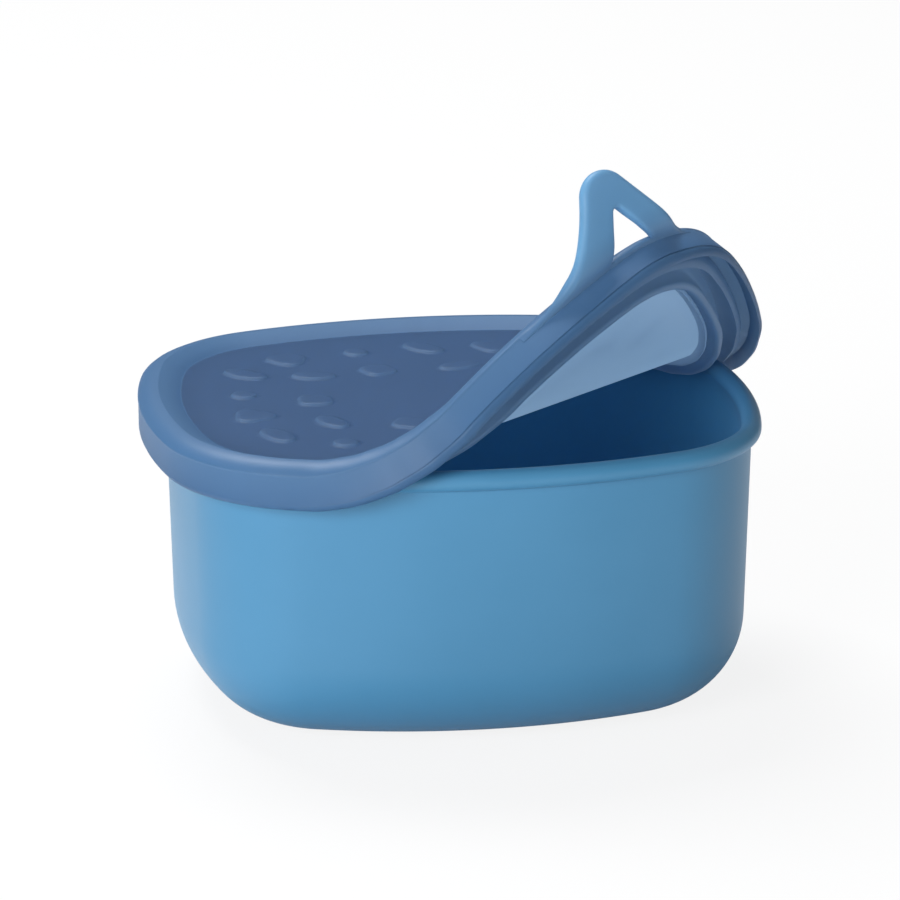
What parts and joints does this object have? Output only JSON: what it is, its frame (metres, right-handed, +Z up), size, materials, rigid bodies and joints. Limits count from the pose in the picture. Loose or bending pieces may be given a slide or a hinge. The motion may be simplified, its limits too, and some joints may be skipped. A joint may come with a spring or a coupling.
{
  "type": "silicone food container",
  "caption": "Rounded oblong silicone food tub with a rolled rim and a flexible press-on lid, peeled back from one corner by its pull loop.",
  "frame": {"origin": "centre of the tub's flat base", "axes": "+X along the long side towards the pull loop's end, +Y towards the back, +Z up"},
  "size_m": [0.1387, 0.1199, 0.1226],
  "materials": {
    "tub": "satin, opaque moulded silicone",
    "lid": "frosted, slightly translucent moulded silicone"
  },
  "bodies": {
    "tub": {"tub": "tub"},
    "lid_base": {"lid_base": "lid"},
    "lid_strip_1": {"lid_strip_1": "lid"},
    "lid_strip_2": {"lid_strip_2": "lid"},
    "lid_strip_3": {"lid_strip_3": "lid"},
    "lid_strip_4": {"lid_strip_4": "lid"},
    "lid_corner": {"lid_corner": "lid"},
    "lid_loop": {"lid_loop": "lid"}
  },
  "joints": [
    {"name": "lid_lift", "type": "slide", "parent": "tub", "child": "lid_base", "axis": [0, 0, 1], "range_m": [0, 0.06]},
    {"name": "peel_1", "type": "hinge", "parent": "lid_base", "child": "lid_strip_1", "pos_m": [0.00903, -0.01003, 0.0646], "axis": [-0.7431, -0.6691, 0], "range_deg": [-13, 3.25]},
    {"name": "peel_2", "type": "hinge", "parent": "lid_strip_1", "child": "lid_strip_2", "pos_m": [0.01295, -0.01438, 0.06595], "axis": [-0.7431, -0.6691, 0], "range_deg": [-13, 3.25]},
    {"name": "peel_3", "type": "hinge", "parent": "lid_strip_2", "child": "lid_strip_3", "pos_m": [0.01655, -0.01838, 0.06858], "axis": [-0.7431, -0.6691, 0], "range_deg": [-13, 3.25]},
    {"name": "peel_4", "type": "hinge", "parent": "lid_strip_3", "child": "lid_strip_4", "pos_m": [0.01967, -0.02185, 0.07236], "axis": [-0.7431, -0.6691, 0], "range_deg": [-13, 3.25]},
    {"name": "peel_5", "type": "hinge", "parent": "lid_strip_4", "child": "lid_corner", "pos_m": [0.02215, -0.02459, 0.07708], "axis": [-0.7431, -0.6691, 0], "range_deg": [-13, 3.25]},
    {"name": "loop_bend", "type": "hinge", "parent": "lid_corner", "child": "lid_loop", "pos_m": [0.02985, -0.03647, 0.10707], "axis": [-0.7949, -0.5259, -0.3025], "range_deg": [-46, 11.5]}
  ],
  "couplings": [
    {"joint": "peel_2", "follows": "peel_1", "ratio": 1},
    {"joint": "peel_3", "follows": "peel_1", "ratio": 1},
    {"joint": "peel_4", "follows": "peel_1", "ratio": 1},
    {"joint": "peel_5", "follows": "peel_1", "ratio": 1},
    {"joint": "loop_bend", "follows": "peel_1", "ratio": 3.5385}
  ]
}
